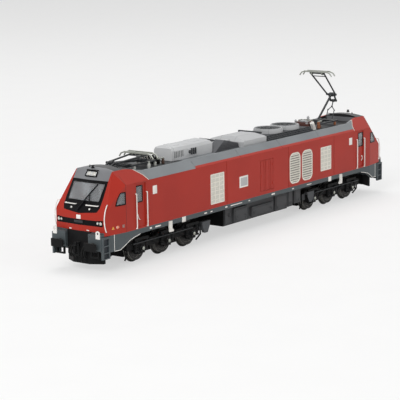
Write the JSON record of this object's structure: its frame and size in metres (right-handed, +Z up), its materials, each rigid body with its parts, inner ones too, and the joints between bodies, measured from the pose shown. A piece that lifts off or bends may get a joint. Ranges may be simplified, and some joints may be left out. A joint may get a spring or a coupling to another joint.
{
  "type": "model electric locomotive",
  "caption": "H0 scale model of a long six-axle electric locomotive with two cabs, swivelling bogies and two folding single-arm pantographs.",
  "frame": {"origin": "below the middle of the model, at the bottom of the wheel flanges, 1.1 mm below the rail heads", "axes": "+X along the model towards the cab whose pantograph is folded, +Y to its left side, +Z up"},
  "size_m": [0.2614, 0.0352, 0.0749],
  "materials": {
    "body_red": "satin red moulded body",
    "cap_grey": "dark grey cab roof",
    "cab_inside": "grey driving cab",
    "lamp_lens": "clear lamp lenses",
    "white_trim": "white rails and lugs",
    "grille_cream": "cream ventilation grilles",
    "switch_brown": "brown-black switch gear",
    "bare_metal": "bright strips and conductors",
    "roof_grey": "mid grey roof",
    "mask_black": "glossy black screen surround",
    "window": "clear moulded glazing",
    "sole_grey": "blue-grey sole bar",
    "hood_grey": "light grey roof hoods",
    "dark_grey": "dark grey roof equipment",
    "frame_black": "black running gear",
    "wheel_metal": "darkened nickel wheels",
    "cast_zinc": "blackened die-cast zinc",
    "arm_metal": "thin dark metal",
    "insulator": "brown ribbed insulators"
  },
  "bodies": {
    "root": {"air_intakes": "dark_grey", "body_side_left": "body_red", "body_side_right": "body_red", "buffers": "frame_black", "cab_front_cap": "cap_grey", "cab_front_mask": "mask_black", "cab_front_shell": "body_red", "cab_interiors": "cab_inside", "cab_rear_cap": "cap_grey", "cab_rear_mask": "mask_black", "cab_rear_shell": "body_red", "chassis_block": "cast_zinc", "cooler_base": "dark_grey", "cooler_hood": "hood_grey", "drawgear": "frame_black", "exhaust_grilles": "dark_grey", "exhaust_hood": "hood_grey", "fan_rings": "hood_grey", "fans": "dark_grey", "fuel_tank": "frame_black", "handrails": "white_trim", "headlamps": "lamp_lens", "headstocks": "sole_grey", "high_voltage_case": "switch_brown", "ladders": "sole_grey", "lamp_bars": "mask_black", "lifting_lugs": "white_trim", "pantograph_front_base": "arm_metal", "pantograph_insulators": "insulator", "pantograph_rear_base": "arm_metal", "ploughs": "frame_black", "roof_conductors": "bare_metal", "roof_insulators": "insulator", "roof_ridge": "hood_grey", "roof_shell": "roof_grey", "side_grilles": "grille_cream", "side_windows": "window", "sills": "sole_grey", "skirts": "sole_grey", "step_loops": "frame_black", "underfloor_cases": "frame_black", "windscreens": "window"},
    "bogie_front": {"bogie_front_frame": "frame_black", "bogie_front_gearbox": "frame_black"},
    "wheelset_front_1": {"wheelset_front_1": "wheel_metal"},
    "wheelset_front_2": {"wheelset_front_2": "wheel_metal"},
    "wheelset_front_3": {"wheelset_front_3": "wheel_metal"},
    "pantograph_front_lower": {"pantograph_front_lower": "arm_metal"},
    "pantograph_front_upper": {"pantograph_front_upper": "arm_metal"},
    "pantograph_front_head": {"pantograph_front_head": "bare_metal"},
    "pantograph_front_rod": {"pantograph_front_rod": "arm_metal"},
    "bogie_rear": {"bogie_rear_frame": "frame_black", "bogie_rear_gearbox": "frame_black"},
    "wheelset_rear_1": {"wheelset_rear_1": "wheel_metal"},
    "wheelset_rear_2": {"wheelset_rear_2": "wheel_metal"},
    "wheelset_rear_3": {"wheelset_rear_3": "wheel_metal"},
    "pantograph_rear_lower": {"pantograph_rear_lower": "arm_metal"},
    "pantograph_rear_upper": {"pantograph_rear_upper": "arm_metal"},
    "pantograph_rear_head": {"pantograph_rear_head": "bare_metal"},
    "pantograph_rear_rod": {"pantograph_rear_rod": "arm_metal"}
  },
  "joints": [
    {"name": "bogie_front_swivel", "type": "hinge", "parent": "root", "child": "bogie_front", "pos_m": [0.0762, 0, 0.0157], "axis": [0, 0, 1], "range_deg": [-12, 12]},
    {"name": "axle_front_1_spin", "type": "hinge", "parent": "bogie_front", "child": "wheelset_front_1", "pos_m": [0.0964, 0, 0.00725], "axis": [0, 1, 0], "continuous": true},
    {"name": "axle_front_2_spin", "type": "hinge", "parent": "bogie_front", "child": "wheelset_front_2", "pos_m": [0.0762, 0, 0.00725], "axis": [0, 1, 0], "continuous": true},
    {"name": "axle_front_3_spin", "type": "hinge", "parent": "bogie_front", "child": "wheelset_front_3", "pos_m": [0.056, 0, 0.00725], "axis": [0, 1, 0], "continuous": true},
    {"name": "pantograph_front_raise", "type": "hinge", "parent": "root", "child": "pantograph_front_lower", "pos_m": [0.081, 0, 0.0464], "axis": [0, -1, 0], "range_deg": [0, 50.2]},
    {"name": "pantograph_front_knee", "type": "hinge", "parent": "pantograph_front_lower", "child": "pantograph_front_upper", "pos_m": [0.10136, 0, 0.04775], "axis": [0, 1, 0], "range_deg": [0, 100.4]},
    {"name": "pantograph_front_level", "type": "hinge", "parent": "pantograph_front_upper", "child": "pantograph_front_head", "pos_m": [0.081, 0, 0.0491], "axis": [0, -1, 0], "range_deg": [0, 50.2]},
    {"name": "pantograph_front_rod_foot", "type": "hinge", "parent": "root", "child": "pantograph_front_rod", "pos_m": [0.0932, 0, 0.0453], "axis": [0, -1, 0], "range_deg": [-0.01, 80.87]},
    {"name": "bogie_rear_swivel", "type": "hinge", "parent": "root", "child": "bogie_rear", "pos_m": [-0.0762, 0, 0.0157], "axis": [0, 0, 1], "range_deg": [-12, 12]},
    {"name": "axle_rear_1_spin", "type": "hinge", "parent": "bogie_rear", "child": "wheelset_rear_1", "pos_m": [-0.0964, 0, 0.00725], "axis": [0, 1, 0], "continuous": true},
    {"name": "axle_rear_2_spin", "type": "hinge", "parent": "bogie_rear", "child": "wheelset_rear_2", "pos_m": [-0.0762, 0, 0.00725], "axis": [0, 1, 0], "continuous": true},
    {"name": "axle_rear_3_spin", "type": "hinge", "parent": "bogie_rear", "child": "wheelset_rear_3", "pos_m": [-0.056, 0, 0.00725], "axis": [0, 1, 0], "continuous": true},
    {"name": "pantograph_rear_raise", "type": "hinge", "parent": "root", "child": "pantograph_rear_lower", "pos_m": [-0.081, 0, 0.0464], "axis": [0, 1, 0], "range_deg": [-37.9, 12.3]},
    {"name": "pantograph_rear_knee", "type": "hinge", "parent": "pantograph_rear_lower", "child": "pantograph_rear_upper", "pos_m": [-0.09623, 0, 0.05997], "axis": [0, -1, 0], "range_deg": [-75.8, 24.6]},
    {"name": "pantograph_rear_level", "type": "hinge", "parent": "pantograph_rear_upper", "child": "pantograph_rear_head", "pos_m": [-0.081, 0, 0.07354], "axis": [0, 1, 0], "range_deg": [-37.9, 12.3]},
    {"name": "pantograph_rear_rod_foot", "type": "hinge", "parent": "root", "child": "pantograph_rear_rod", "pos_m": [-0.0932, 0, 0.0453], "axis": [0, 1, 0], "range_deg": [-61.06, 19.82]}
  ],
  "couplings": [
    {"joint": "pantograph_front_knee", "follows": "pantograph_front_raise", "ratio": 2},
    {"joint": "pantograph_front_level", "follows": "pantograph_front_raise", "ratio": 1},
    {"joint": "pantograph_front_rod_foot", "follows": "pantograph_front_raise", "ratio": 1.6108},
    {"joint": "pantograph_rear_knee", "follows": "pantograph_rear_raise", "ratio": 2},
    {"joint": "pantograph_rear_level", "follows": "pantograph_rear_raise", "ratio": 1},
    {"joint": "pantograph_rear_rod_foot", "follows": "pantograph_rear_raise", "ratio": 1.6108}
  ]
}
